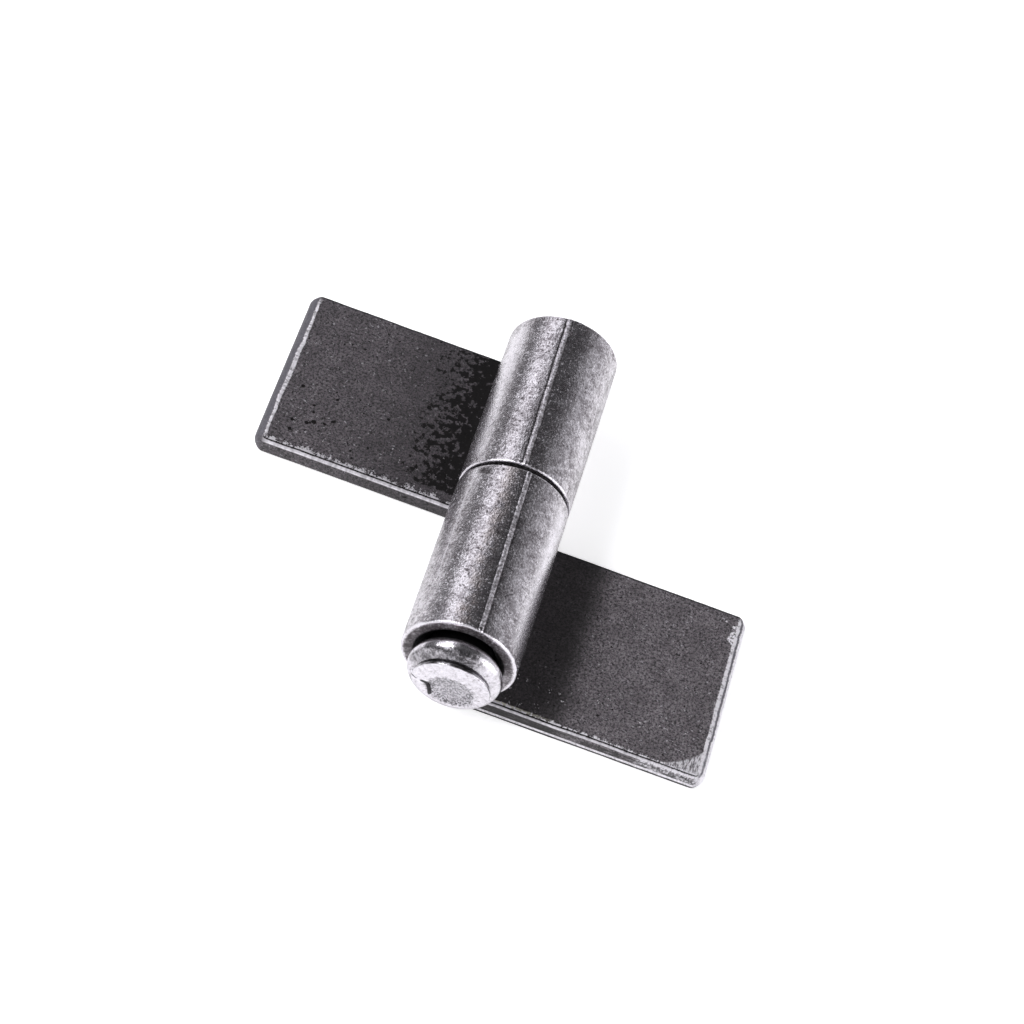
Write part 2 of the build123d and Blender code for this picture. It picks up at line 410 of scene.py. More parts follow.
def leaf_surface(settings, seed):
    """The lower leaf: a flat grid on top and underneath, joined by a band carried round its outline.

    The outline is a rectangle with round corners: a point q of the plain rectangle goes to
    c + r * (q - c) / |q - c|, with c the nearest point of the rectangle drawn in by r. The band runs
    flat, then round a quarter circle, down the side, round a second one and back underneath. The
    circle's radius grows from the long edges to the free end, shrinks at the end under the barrel and
    wavers with noise. Under the barrel the top is cut down to the seat, z = h - sqrt(R^2 - x^2), and
    noise lowers it a little elsewhere. The marks are edge_way, the distance over the edge from where
    the rounding starts on the top, and free_end, which is 1 at the free end and 0 at the long edges."""
    middle = (LEAF_LOW + LEAF_HIGH) / 2
    half = np.array([(LEAF_HIGH.x - LEAF_LOW.x) / 2, (LEAF_HIGH.y - LEAF_LOW.y) / 2])
    band, spacing = 2.4 * MM, 0.3 * MM
    counts = np.round(2 * half / spacing).astype(int)
    axes = (np.linspace(-1, 1, count + 1) for count in counts)
    unit = np.stack(np.meshgrid(*axes, indexing="ij"), -1)
    inner = unit * (half - band)
    m, n = counts
    border = [(i, 0) for i in range(m)] + [(m, j) for j in range(n)]
    border += [(i, n) for i in range(m, 0, -1)] + [(0, j) for j in range(n, 0, -1)]
    border = tuple(np.transpose(border))
    on_border = unit[border]
    square = on_border * half
    corner = np.where(on_border[:, :1] > 0, settings.corner_radius, settings.inner_radius)
    drawn_in = np.clip(square, corner - half, half - corner)
    out = square - drawn_in
    normal = out / np.linalg.norm(out, axis=1, keepdims=True)
    outline = drawn_in + corner * normal

    free, hidden = (ramp(sign * normal[:, :1], 0.0, 0.95) for sign in (1, -1))
    hidden = np.maximum(hidden, 1 - ramp(outline[:, :1] + half[0], 0.3 * MM, 1.5 * MM))
    radius = settings.edge_radius + (settings.nose_radius - settings.edge_radius) * free
    radius = radius + (settings.inner_radius - radius) * hidden
    place = np.concatenate([outline, outline[:, :1] * 0 + seed * MM], -1)
    ragged = value_noise(place, 0.8 * MM, seed)[:, None] - 0.5
    waved = value_noise(place, 4.0 * MM, seed + 1)[:, None] - 0.5
    radius = radius * (1 + (1 - hidden) * (0.22 * waved + 0.1 * ragged))
    top, start = LEAF_THICKNESS, inner[border]
    inward = outline - normal * radius - start
    reach, arc = np.linalg.norm(inward, axis=1), radius[:, 0]
    round_way = arc * math.pi / 2
    foot = round_way + top - 2 * arc
    quarter = [
        (outline - normal * radius * (1 - math.sin(turn)), arc * (1 - math.cos(turn)), arc * turn)
        for turn in np.linspace(0, math.pi / 2, 8)
    ]

    # Rows of the band from the top to underneath: places in plan, heights and distances over the edge
    rows = [(start + inward * t, top, -reach * (1 - t)) for t in np.linspace(0, 1, 9)[:-1]]
    rows += [(place, top - drop, over) for place, drop, over in quarter]
    for t in np.linspace(0, 1, 7)[1:-1]:
        rows.append((outline, (top - arc) * (1 - t) + arc * t, round_way + (top - 2 * arc) * t))
    rows += [(place, drop, foot + round_way - over) for place, drop, over in reversed(quarter)]
    for t in np.linspace(1, 0, 5)[1:]:
        rows.append((start + inward * t, 0.0, foot + round_way + reach * (1 - t)))
    ring = np.stack([np.column_stack([place, height + 0 * arc]) for place, height, _ in rows])
    way = np.stack([row[2] for row in rows])
    ring_faces = grid_faces(len(rows), ring.shape[1], False, True)

    flat = np.concatenate([inner, np.zeros(inner.shape[:2] + (1,))], -1).reshape(-1, 3)
    upper = flat + (0, 0, top)
    face = grid_faces(m + 1, n + 1, False, False)
    faces = np.vstack([ring_faces, face + way.size, face[:, ::-1] + way.size + len(upper)])
    points = np.vstack([ring.reshape(-1, 3), upper, flat]) + (middle.x, middle.y, 0)

    x = np.clip(np.abs(points[:, 0]), 0, SLEEVE_RADIUS)
    play = 0.005 * MM
    seat = AXIS_HEIGHT - np.sqrt((SLEEVE_RADIUS + play) ** 2 - x**2)
    points[:, 2] = np.minimum(points[:, 2], seat)
    uneven = unevenness(points, seed + 4, (6.0, 0.03))
    points[:, 2] -= np.abs(uneven) * ramp(points[:, 2], 0.5 * top, 0.9 * top)
    inside = np.repeat([-band, 4 * band], len(upper))
    free_end = np.concatenate([np.tile(free[:, 0], len(rows)), 0 * inside])
    marks = {"edge_way": np.concatenate([way.reshape(-1), inside]), "free_end": free_end}
    return points, faces, marks


# ---- Materials ----


class Flow:
    """A value, colour, vector or shader in a node tree. Arithmetic on it adds Math nodes."""

    def __init__(self, nodes, socket):
        self.nodes = nodes
        self.socket = socket

    def worked(self, operation, *others):
        """The value put through a Math node, with the others after it."""
        return self.nodes.node("Math", {"operation": operation}, dict(enumerate((self, *others))))

    __add__ = __radd__ = partialmethod(worked, "ADD")
    __mul__ = __rmul__ = partialmethod(worked, "MULTIPLY")
    __sub__ = partialmethod(worked, "SUBTRACT")
    __truediv__ = partialmethod(worked, "DIVIDE")
    __abs__ = partialmethod(worked, "ABSOLUTE")
    power = partialmethod(worked, "POWER")
    least = partialmethod(worked, "MINIMUM")
    most = partialmethod(worked, "MAXIMUM")
    angle_from = partialmethod(worked, "ARCTAN2")

    def __rsub__(self, other):
        return self.nodes.node("Math", {"operation": "SUBTRACT"}, {0: other, 1: self})

    def mapped(self, curve, low, high, first, last):
        """The value put through a Map Range node."""
        inputs = {"Value": self, "From Min": low, "From Max": high, "To Min": first, "To Max": last}
        return self.nodes.node("MapRange", {"interpolation_type": curve, "clamp": True}, inputs)

    def line(self, low, high, first, last):
        """first at low, last at high, straight between them and level beyond."""
        return self.mapped("LINEAR", low, high, first, last)

    def ramp(self, low, high):
        """0 at low, 1 at high, smooth between them; low may be above high."""
        return self.mapped("SMOOTHSTEP", low, high, 0.0, 1.0)

    def fade(self, low, high):
        """A ramp from one length to another, in millimetres."""
        return self.ramp(low * MM, high * MM)

    def band(self, start, end, blur):
        """1 between start and end, falling to 0 over the blur at both."""
        return self.ramp(start - blur / 2, start + blur / 2) * self.ramp(end + blur / 2, end - blur / 2)

    def strip(self, start, end, blur):
        """A band whose start, end and blur are in millimetres."""
        return self.band(start * MM, end * MM, blur * MM)

    def bell(self, width):
        """A smooth bump of height 1 where the value is 0 and 0 at a width in millimetres."""
        return abs(self).fade(width, 0.0)

    def away(self, other):
        """The distance from 0 of two lengths at right angles, sqrt(a^2 + b^2)."""
        return (self * self + other * other).power(0.5)

    def swing(self, reach):
        """Noise turned into a length that swings about 0 over a reach in millimetres."""
        return (self - 0.5) * (reach * MM)


class Nodes:
    """A node tree under construction."""

    def __init__(self, owner):
        owner.use_nodes = True
        self.tree = owner.node_tree

    def node(self, kind, settings=None, inputs=None, output=0):
        """Add one node: its settings first, then the values or links of its sockets."""
        made = self.tree.nodes.new(f"ShaderNode{kind}")
        for key, value in (settings or {}).items():
            setattr(made, key, value)
        for key, value in (inputs or {}).items():
            self.feed(made.inputs[key], value)
        return Flow(self, made.outputs[output])

    def feed(self, socket, value):
        """Link a flow to a socket, or set the socket's own value."""
        if isinstance(value, Flow):
            self.tree.links.new(value.socket, socket)
        elif socket.type == "RGBA" and len(value) == 3:
            socket.default_value = (*value, 1.0)
        else:
            socket.default_value = value

    def axes(self, place):
        """The three parts of a vector."""
        split = self.node("SeparateXYZ", inputs={0: place}).socket.node
        return (Flow(self, axis) for axis in split.outputs)

    def layers(self, tone, *over):
        """A colour with others laid over it in turn, each given after the share that it covers."""
        for share, next_tone in over:
            tone = self.node("Mix", {"data_type": "RGBA"}, {0: share, 6: tone, 7: next_tone}, 2)
        return tone


class Skin(Nodes):
    """The nodes of one new material, with its object coordinates."""

    def __init__(self, name):
        self.material = bpy.data.materials.new(name)
        super().__init__(self.material)
        self.place = self.node("TexCoord", output="Object")
        self.x, self.y, self.z = self.axes(self.place)

    def finish(self, **values):
        """Feed the main shader, each socket by its name with underscores for spaces."""
        shader = self.tree.nodes["Principled BSDF"]
        for name, value in values.items():
            self.feed(shader.inputs[name.replace("_", " ")], value)
        return self.material

    def mark(self, name):
        """A value that the mesh carries at each point."""
        return self.node("Attribute", {"attribute_name": name}, output=2)

    def noise(self, feature, detail=2.0, roughness=0.5, distortion=0.0, place=None):
        """Noise from 0 to 1, whose spots are about the given size in millimetres."""
        inputs = {"Vector": place or self.place, "Scale": 1 / (feature * MM), "Detail": detail}
        inputs |= {"Roughness": roughness, "Distortion": distortion}
        return self.node("TexNoise", {"noise_dimensions": "3D"}, inputs)

    def moved(self, distance):
        """Object coordinates moved sideways by metres, for a noise of its own."""
        return self.node("VectorMath", {"operation": "ADD"}, {0: self.place, 1: (distance,) * 3})

    def stretched(self, *factors):
        """Object coordinates multiplied axis by axis, so that noise on them is drawn out."""
        return self.node("VectorMath", {"operation": "MULTIPLY"}, {0: self.place, 1: factors})

    def spot(self, x, y, radius, ragged):
        """1 inside a ragged round spot at a place in plan, 0 outside; lengths in millimetres."""
        away = (self.x - x * MM).away(self.y - y * MM)
        return (away + ragged).ramp(radius * MM * 1.15, radius * MM * 0.85)

    def stroke(self, x, y, points, width):
        """1 on a line of straight runs through points, falling to 0 at a width from it. Points and
        width are in millimetres."""
        nearest = None
        for (start_x, start_y), (end_x, end_y) in zip(points, points[1:]):
            run_x, run_y = (end_x - start_x) * MM, (end_y - start_y) * MM
            off_x, off_y = x - start_x * MM, y - start_y * MM
            share = (off_x * run_x + off_y * run_y) * (1 / (run_x**2 + run_y**2))
            share = share.most(0.0).least(1.0)
            away = (off_x - share * run_x).away(off_y - share * run_y)
            nearest = nearest.least(away) if nearest else away
        return nearest.ramp(width * MM, 0.3 * (width * MM))

    def relief(self, height, depth):
        """A normal from a height that runs from 0 to 1 over a depth in millimetres."""
        return self.node("Bump", inputs={"Strength": 1.0, "Distance": depth * MM, "Height": height})


# Colours of single marks on the three steels, and of the light and shade painted on them, in linear RGB
RUST = (0.34, 0.26, 0.21)
# Painted shade: black in the sleeves' countersunk mouths
MOUTH_SHADE_BLACK = (0.006, 0.005, 0.005)
PALE_SPECK = (0.46, 0.44, 0.47)
RUBBED = (0.72, 0.7, 0.74)
# Painted reflection in grey on the leaves' free ends
END_REFLECTION_GREY = (0.2, 0.195, 0.22)
BARED = (0.86, 0.83, 0.7)
HAMMERED = (0.58, 0.55, 0.59)
SMEARED = (0.3, 0.285, 0.3)
# Painted shade on the pin's shoulder
SHADED = (0.09, 0.085, 0.09)
PEEN_PIT = (0.12, 0.11, 0.12)
# Painted shade under the pin's head
UNDER_SHADE_GREY = (0.36, 0.34, 0.37)
DISH_SPECK = (0.07, 0.065, 0.07)
# Painted shade in the pin's crease, lap step and crack
FOLD_SHADE_BLACK = (0.02, 0.018, 0.02)
# Painted shade on the pin's neck
NECK_SHADE_BLACK = (0.05, 0.045, 0.05)

# Marks on the lower sleeve: points as millimetres round from the top and along from the junction,
# half width in millimetres, and whether it is dark
SCRATCHES = (
    (((-2.3, 7.2), (-2, 7.6)), 0.3, True),
    (((-0.95, 12.4), (-0.7, 12.9)), 0.3, True),
    (((1.6, 17.8), (3.3, 18.05)), 0.14, True),
    (((-6.3, 1.5), (-5.3, 1.8)), 0.75, True),
    (((-7.8, 1.2), (-7.4, 2.3)), 0.85, False),
    (((-0.5, 2.3), (-0.1, 4.2), (0, 6)), 0.12, False),
    (((3.2, 22.6), (4.3, 21.4)), 0.14, True),
)


def sleeve_steel(name, settings, seam, turn):
    """Tumbled bare steel: small dents with dark bottoms, bright rims and a bright ridge at the seam, with
    painted shade on the end faces, on the gap faces and in the bore, the countersunk mouth painted black
    as shade, and a painted highlight along one flank.

    turn is 1 for the lower sleeve and -1 for the upper one, which is the same part turned round. The
    lower sleeve also has a worn streak, scratches and a tinge of rust."""
    steel = Skin(name)
    lower, wall = turn > 0, SLEEVE_RADIUS
    up = steel.z - AXIS_HEIGHT
    across = steel.x * turn
    along = (JUNCTION_Y - steel.y) * turn
    radius = across.away(up)
    around = across.angle_from(up)
    middle = HALF_GAP + SLEEVE_LENGTH / 2
    seam_line = (along - middle) * (math.tan(settings.seam_skew) / wall) + seam
    from_seam = (around - seam_line) * wall
    to_rim = (along - HALF_GAP).least(OUTER_END - along)

    grain = steel.noise(0.36, 2, 0.65)
    dust = steel.noise(0.2, 2, 0.6)
    patches = steel.noise(1.6, 3, 0.6)
    cloudy = (steel.noise(5, 2, 0.5) - 0.5) * 0.2
    fine = steel.noise(0.3, 2, 0.6, place=steel.moved(0.17))
    mottles = steel.noise(0.85, 2, 0.6, 0.3)
    uneven = fine * 0.35 + grain * 0.35 + mottles * 0.3 + (patches - 0.5) * 0.25 + cloudy
    beaten = fine * 0.6 + mottles * 0.4
    speckle = uneven.ramp(0.36, 0.66)
    peaks = (beaten + cloudy).ramp(0.565, 0.64)
    holes = (grain * 0.6 + mottles * 0.4).ramp(0.41, 0.35)

    at_wall = radius.ramp(wall - 0.5 * MM, wall - 0.25 * MM)
    rim = (to_rim + grain.swing(0.9) + patches.swing(1)).fade(0.34, 0.06) * at_wall
    shaken = from_seam + dust.swing(0.25) + patches.swing(0.25)
    ridge = shaken + settings.ridge_offset
    lip = ridge.strip(-0.3, 0.3, 0.2) * to_rim.fade(0.3, 0.9)
    crease = shaken.bell(0.2).most((ridge + 0.46 * MM).bell(0.16) * 0.5)
    from_start = along - HALF_GAP - 0.9 * MM
    curl = (ridge.away(from_start) - 0.33 * MM).bell(0.14) * dust.ramp(0.38, 0.5)
    # Painted shade: the end faces, the gap faces and the bore are darker, in the colour of the pits
    inside = radius.ramp(wall - 0.45 * MM, wall - 0.7 * MM)
    mouth = radius.ramp(settings.mouth_radius + 0.25 * MM, settings.mouth_radius - 0.05 * MM)
    streak = ((around + 0.925) * wall + patches.swing(0.2)).bell(0.3)
    streak = streak * along.strip(4.5, 21, 1) * dust.ramp(0.38, 0.5) * lower
    rust = around.band(-0.3, -0.04, 0.2) * patches.ramp(0.35, 0.6) * (0.3 * lower)
    # Painted highlight: a bright band along one flank in the worn steel's colour, fading towards the rims
    flank_highlight = around.band(0.86, 1.25, 0.3) * to_rim.fade(0.5, 3) * 0.6
    scratches = []
    for points, width, dark in SCRATCHES if lower else ():
        scratch = steel.stroke(around * wall, along, points, width) * dust.ramp(0.3, 0.5)
        scratches.append((scratch * 0.85, settings.pit_and_shade if dark else settings.worn))

    tone = steel.layers(
        settings.hollow,
        (speckle, settings.body),
        (holes * 0.75, settings.pit_and_shade),
        (peaks * 0.75, settings.worn),
        (rust, RUST),
        (lip * beaten.line(0.42, 0.56, 0.1, 1), settings.worn),
        (lip * grain.ramp(0.5, 0.4) * 0.75, settings.hollow),
        (crease * 0.75, settings.pit_and_shade),
        # Painted shade on the end faces, on the gap faces and in the bore
        (inside * speckle.line(0, 1, 0.95, 0.55), settings.pit_and_shade),
        # Painted shade: the countersunk mouth black
        (mouth * 0.95, MOUTH_SHADE_BLACK),
        # Painted highlight along one flank
        (flank_highlight, settings.worn),
        *scratches,
        (rim.most(streak).most(curl) * 0.9, settings.worn),
    )
    rough = 0.21 + peaks * 0.24 + (1 - speckle) * 0.07
    rough = rough.most(lip * (0.3 + fine * 0.4)).most(rim * 0.4).most(streak * 0.5).most(inside * 0.5)
    height = grain * 0.35 + fine * 0.45 - holes * 0.25 + lip * (mottles - 0.5) * 1.2
    return steel.finish(Base_Color=tone, Roughness=rough, Metallic=0.95, Normal=steel.relief(height, 0.12))


# Pits in the upper leaf and chips at the lower one's free end, as x, y and size, and a nick in the
# upper leaf's near side, as points outwards and up, all in millimetres
PITS = (
    (-32, 8.7, 0.3), (-33, 8.1, 0.24), (-32.5, 8.3, 0.18), (-35.2, 7.8, 0.22), (-30.4, 9, 0.17),
    (-29.3, 10, 0.24), (-32.9, 11.7, 0.18), (-32.6, 10.4, 0.17), (-35, 6, 0.24), (-35.6, 14.5, 0.22),
    (-29.9, 14.2, 0.2), (-26, 7, 0.15), (-25.3, 5.9, 0.15), (-23, 7.5, 0.15), (-21.6, 14, 0.2),
)
CHIPS = ((36.3, 0, 0.2), (37.9, -0.7, 0.55), (37.9, -2, 0.6), (37.7, -2.9, 0.65), (38, -3.5, 0.35))
NICK = ((38.7, 2), (37.9, 1.4))


def leaf_steel(name, settings, lower, body):
    """Dark rolled steel: fine grain, small pits, black oxide beside the barrel on the upper leaf and edges
    rubbed bright, most of all the free end and the long edge on the side of the pin's head. Painted light
    and shade on both leaves: a highlight along the rounding of the long edges, a highlight where the free
    end's rounding starts, a grey reflection further round it and dark shade along the foot of the sides.
    On the lower leaf, the barrel's painted shadow beside it and a painted floor reflection low on its
    sides; on the upper leaf, painted shade darkening it towards the barrel.

    The upper leaf's black oxide has flaked, and it is pitted. The lower leaf has chips, a corner rubbed by
    its neighbours in the box and a pale bared strip along the edge by the head. edge_way is the
    distance over the edge from where the rounding starts, and free_end is 1 at the free end."""
    steel = Skin(name)
    turn = 1 if lower else -1
    out = steel.x * turn
    along = (JUNCTION_Y - steel.y) * turn
    way, free = steel.mark("edge_way"), steel.mark("free_end")
    sides = 1 - free
    above = steel.z.fade(0.15, 0.5)
    near = along.fade(19, 24) if lower else along.fade(12, 7)

    grain = steel.noise(0.4, 3, 0.75)
    dust = steel.noise(0.22, 2, 0.6)
    clouds = steel.noise(3.5, 3, 0.6)
    specks = steel.noise(0.42, 1, 0.5, 0.5).ramp(0.68, 0.76)
    beads = steel.noise(0.7, 2, 0.6, place=steel.stretched(1, 0.35, 0.3))
    end_way = steel.stretched(0.3, 1, 0.3)
    end_beads = steel.noise(0.6, 1, place=end_way).line(0.4, 0.5, 0.4, 1)
    coarse = grain * 0.6 + dust * 0.4
    ragged = grain.swing(0.5)
    shaken = way + ragged
    pits = (steel.noise(0.7, 1.5, 0.5) + (clouds - 0.5) * 0.12).ramp(0.3, 0.25)
    for x, y, size in () if lower else PITS:
        pits = pits.most(steel.spot(x, y, 1.35 * size, ragged) * above)
    height = grain * 0.65 + dust * 0.25 - pits * 0.5
    black = pits
    dark = tuple(0.2 * level for level in body)
    light = tuple(2.05 * level for level in body)

    if lower:
        corner_out = (LEAF_HIGH.x - out).most(0) / (11 * MM)
        corner_along = (JUNCTION_Y - LEAF_LOW.y - along).most(0) / (9 * MM)
        corner = corner_out.power(0.6) + corner_along.power(0.6)
        strokes = steel.noise(0.5, 2, 0.6, place=steel.stretched(2.2, 0.5, 1))
        rubbed = (corner + (grain - 0.5) * 0.1).ramp(0.99, 0.94) * strokes.line(0.42, 0.56, 0.1, 1)
        on_top = [(rubbed, RUBBED)]
        for x, y, size in CHIPS:
            chip = steel.spot(x, y, size, ragged * 1.6) * grain.ramp(0.44, 0.52)
            on_top.append((chip, settings.worn))
        # Painted shadow of the barrel on the lower leaf: black within 15 mm of the hinge line, fading out
        # by 19.6 mm
        on_top.append((out.fade(19.6, 15) * 0.76, settings.scale))

        # The free end: rubbed bright beads, a painted highlight where its rounding starts, and speckled
        # brightening over its outer part
        end_wear_and_highlight = shaken.strip(-0.2, 0.42, 0.15) * end_beads.most(coarse.ramp(0.46, 0.52))
        end_wear_and_highlight = end_wear_and_highlight.most(shaken.fade(0.7, 0.9) * coarse.line(0.42, 0.52, 0.6, 1))
        blotches = steel.noise(1.2, 3, 0.7, place=steel.stretched(0.6, 1, 1.2)).ramp(0.6, 0.46)
        # Painted reflection of the floor: a bright strip low on the lower leaf's long sides
        under = steel.z.strip(0.8, 1.3, 0.15) * coarse.line(0.4, 0.56, 0.45, 0.9)
        # Painted shade: a dark foot along the bottom of the long sides
        foot = steel.z.fade(0.82, 0.62)
        bared = (way + grain.swing(0.3)).strip(-0.45, 0, 0.15) * near * sides
        bared = bared * out.line(8 * MM, 16.5 * MM, 0.95, 0) * coarse.line(0.4, 0.55, 0.6, 1)
        beside_edge = [(bared, BARED)]
        flaked, fringe_reach, fringe_share, arris_end = 0, 0.5, 1, 0.68
    else:
        limit = out.line(8.6 * MM, 17.4 * MM, 0.34, 0.59) + out.line(17.4 * MM, 19 * MM, 0, 0.4)
        to_junction = (along - (JUNCTION_Y - LEAF_HIGH.y)) + clouds.swing(2)
        limit = limit + to_junction.line(2.6 * MM, 1.8 * MM, 0, 0.3)
        flaked = (steel.noise(1, 3, 0.62) - limit).ramp(0, 0.035) * above
        # The first layer is painted shade: the upper leaf darkens towards the barrel, from 27 mm out to 18
        # mm
        on_top = [(out.line(27 * MM, 18 * MM, 0, 0.35), dark), (flaked * 0.95, settings.scale)]
        height = height - flaked * 0.25

        # The free end: rubbed bright beads, and a painted highlight where its rounding starts
        end_wear_and_highlight = shaken.strip(-0.45, 0.22, 0.2) * end_beads.most(coarse.ramp(0.46, 0.54))
        blotches = clouds.ramp(0.58, 0.42) * 0.4
        under, beside_edge = 0, []
        # Painted shade: a dark foot along the bottom of the long sides
        foot = steel.z.fade(0.55, 0.35)
        nick = steel.stroke(out, steel.z, NICK, 0.32) * along.fade(1.5, 1)
        black = pits.most(nick * grain.ramp(0.4, 0.5))
        fringe_reach, fringe_share, arris_end = 1.2, 0.75, 0.88

    spots = way.line(-settings.fringe_reach * fringe_reach, 0, 0.61, 0.45)
    fringe = (coarse * 0.6 + beads * 0.4 - spots).ramp(0, 0.04) * way.fade(0.1, 0.02)
    fringe = fringe * near * fringe_share
    line = (way + grain.swing(0.25)).strip(0.03, 0.26, 0.08) * sides
    # Painted highlight along the rounding of the long edges, joined by the painted floor reflection
    arris_highlight = (way + grain.swing(0.15)).strip(0.32, arris_end, 0.12)
    arris_highlight = arris_highlight * beads.line(0.36, 0.58, 0.55, 0.9) * out.fade(38.6, 37.2)
    arris_highlight = arris_highlight.most(under) * sides
    foot = foot * steel.z.fade(0.02, 0.1) * sides
    # Painted reflection: the free end's rounding further out in grey
    end_side = way.fade(0.2, 0.4) * free
    on_side = way.fade(0.95, 1.05) * sides
    # Rubbed spots, and the free end's wear with its painted highlight
    worn = (fringe * sides).most(end_wear_and_highlight * free) * above
    bright = worn.most(arris_highlight)

    tone = steel.layers(
        dark,
        ((grain * 0.55 + dust * 0.45).ramp(0.38, 0.62), light),
        (clouds.ramp(0.35, 0.65) * 0.3, dark),
        (specks * 0.8, PALE_SPECK),
        *on_top,
        (pits * 0.92, settings.scale),
        # Painted reflection in grey on the free end's rounding
        (end_side * 0.7, END_REFLECTION_GREY),
        (on_side * blotches * 0.8, settings.scale),
        *beside_edge,
        (line * 0.9, settings.scale),
        # Rubbed spots and beads, with the painted highlights and reflection
        (bright, settings.worn),
        # Painted shade at the foot of the long sides
        (foot * 0.9, settings.scale),
    )
    roughness = 0.58 - bright * 0.24
    black = black.most(line).most(foot).most(flaked * 0.8)
    metallic = (0.3 + arris_highlight.most(end_side) * 0.5 * (1 - worn)).most(black * 0.9)
    normal = steel.relief(height + worn * beads * 1.5, 0.11)
    return steel.finish(Base_Color=tone, Roughness=roughness, Metallic=metallic, Normal=normal)


# A crack at the left of the button's rim, as points like those of the lap
CRACK = ((-5.8, -0.3), (-5, -0.8))


def pin_steel(name, settings):
    """Bright peened steel: hammer marks and a dull speckled dish, with painted shade: black in the crease,
    along the lap's step, in the crack and on the neck by the barrel's end, dark grey on the shoulder's top
    and grey under the head.

    head_way is the distance along the pin's section from the barrel's end."""
    steel = Skin(name)
    x, up = steel.x - settings.head_shift, steel.z - (AXIS_HEIGHT - settings.button_drop)
    way, radius = steel.mark("head_way"), x.away(up)
    marks = steel.noise(0.75, 3, 0.65)
    grain = steel.noise(0.3, 2, 0.6)
    smears = steel.noise(1.8, 2, 0.5, 0.6)
    mixed = marks * 0.6 + grain * 0.4
    face = way.ramp(settings.button_front - 0.15 * MM, settings.button_front - 0.02 * MM)
    shoulder = way.fade(2.35, 2.75) * (1 - face)
    from_dish = (x - settings.dish_shift).away(up + settings.dish_drop) + marks.swing(1.6)
    dish = from_dish.fade(4, 3.2) * face
    dots = steel.noise(0.26, 1, place=steel.moved(0.23)) * 0.6 + grain * 0.4
    specks = dots.ramp(0.54, 0.44) * ((from_dish - 3.1 * MM).bell(1.2) * 0.5 + 0.5) * dish

    # Painted shade on the top of the shoulder, in dark grey
    top = up.fade(0.3, 3) * x.fade(4.2, 2)
    # Painted shade: grey under the head and round the bottom of the button's rim
    under = (radius - 5.1 * MM + marks.swing(0.6)).fade(0, 0.5) * up.fade(-1, -3)
    # Painted shade: black in the crease, along the lap's step and in the crack
    crease = (way - settings.crease - 0.05 * MM + marks.swing(0.3)).bell(0.16)
    shaken_x, shaken_up = x + grain.swing(0.25), up + marks.swing(0.3)
    lap = (steel.stroke(shaken_x, shaken_up, LAP, 0.34) * 1.8).least(1) * face
    fold_shade = crease.most(lap).most(steel.stroke(shaken_x, shaken_up, CRACK, 0.14))
    tone = steel.layers(
        HAMMERED,
        (mixed.ramp(0.38, 0.6), settings.body),
        (smears.ramp(0.45, 0.62) * 0.5 * (1 - face), SMEARED),
        # Painted shade on the top of the shoulder
        (shoulder * top * mixed.line(0.44, 0.56, 0.9, 0.45), SHADED),
        (mixed.ramp(0.41, 0.36) * 0.6, PEEN_PIT),
        # Painted shade under the head
        (under * (0.75 - face * 0.35), UNDER_SHADE_GREY),
        (dish * dots.line(0.42, 0.6, 0.95, 0.35), settings.hollow),
        (specks * 0.85, DISH_SPECK),
        # Painted shade in the crease, lap step and crack
        (fold_shade * 0.92, FOLD_SHADE_BLACK),
        # Painted shade: the neck black by the barrel's end
        (way.fade(0.9, 0.3), NECK_SHADE_BLACK),
    )
    rough = 0.22 + dish * 0.2 + fold_shade * 0.3
    normal = steel.relief(marks * 0.7 + grain * 0.3, 0.06)
    return steel.finish(Base_Color=tone, Roughness=rough, Metallic=0.95, Normal=normal)


# ---- Operators ----


class HINGE_OT_sleeves(bpy.types.Operator):
    """Build the two rolled sleeves with their seams and countersunk mouths"""

    bl_idname = "hinge.sleeves"
    bl_label = "Sleeves"

    def execute(self, context):
        settings = context.scene.hinge_sleeve
        halves = (("lower", settings.lower_seam, 1, 11), ("upper", -settings.upper_seam, -1, 23))
        for half, seam, turn, seed in halves:
            points = sleeve_points(settings, seam, seed)
            faces = grid_faces(points.shape[0], points.shape[1], True, True)
            points = points.reshape(-1, 3)
            if turn < 0:
                points = about_junction(points)
            steel = sleeve_steel(f"{half}_sleeve_steel", settings, seam, turn)
            names = f"{half}_sleeve", f"{half}_half", f"{half}_knuckle", "sleeve_steel"
            piece_from(*names, points, faces, steel)
        return {"FINISHED"}


class HINGE_OT_leaves(bpy.types.Operator):
    """Build the two flat leaves with their rounded edges and seats"""

    bl_idname = "hinge.leaves"
    bl_label = "Leaves"

    def execute(self, context):
        settings = context.scene.hinge_leaf
        halves = (("lower", settings.lower_body, 31), ("upper", settings.upper_body, 47))
        for half, tone, seed in halves:
            lower = half == "lower"
            points, faces, marks = leaf_surface(settings, seed)
            if not lower:
                points = about_junction(points)
            steel = leaf_steel(f"{half}_leaf_steel", settings, lower, tuple(tone))
            names = f"{half}_plate", f"{half}_half", f"{half}_leaf", "leaf_steel"
            piece_from(*names, points, faces, steel, marks)
        return {"FINISHED"}


class HINGE_OT_pin(bpy.types.Operator):
    """Build the pin with its collar and peened button"""

    bl_idname = "hinge.pin"
    bl_label = "Pin"

    def execute(self, context):
        settings = context.scene.hinge_pin
        points, way = pin_points(settings, context.scene.hinge_sleeve.bore_radius, 59)
        faces = grid_faces(points.shape[0], points.shape[1], False, True)
        marks = {"head_way": way.reshape(-1)}
        names = "headed_pin", "lower_half", "hinge_pin", "pin_steel"
        piece_from(*names, points.reshape(-1, 3), faces, pin_steel("pin_steel", settings), marks)
        return {"FINISHED"}


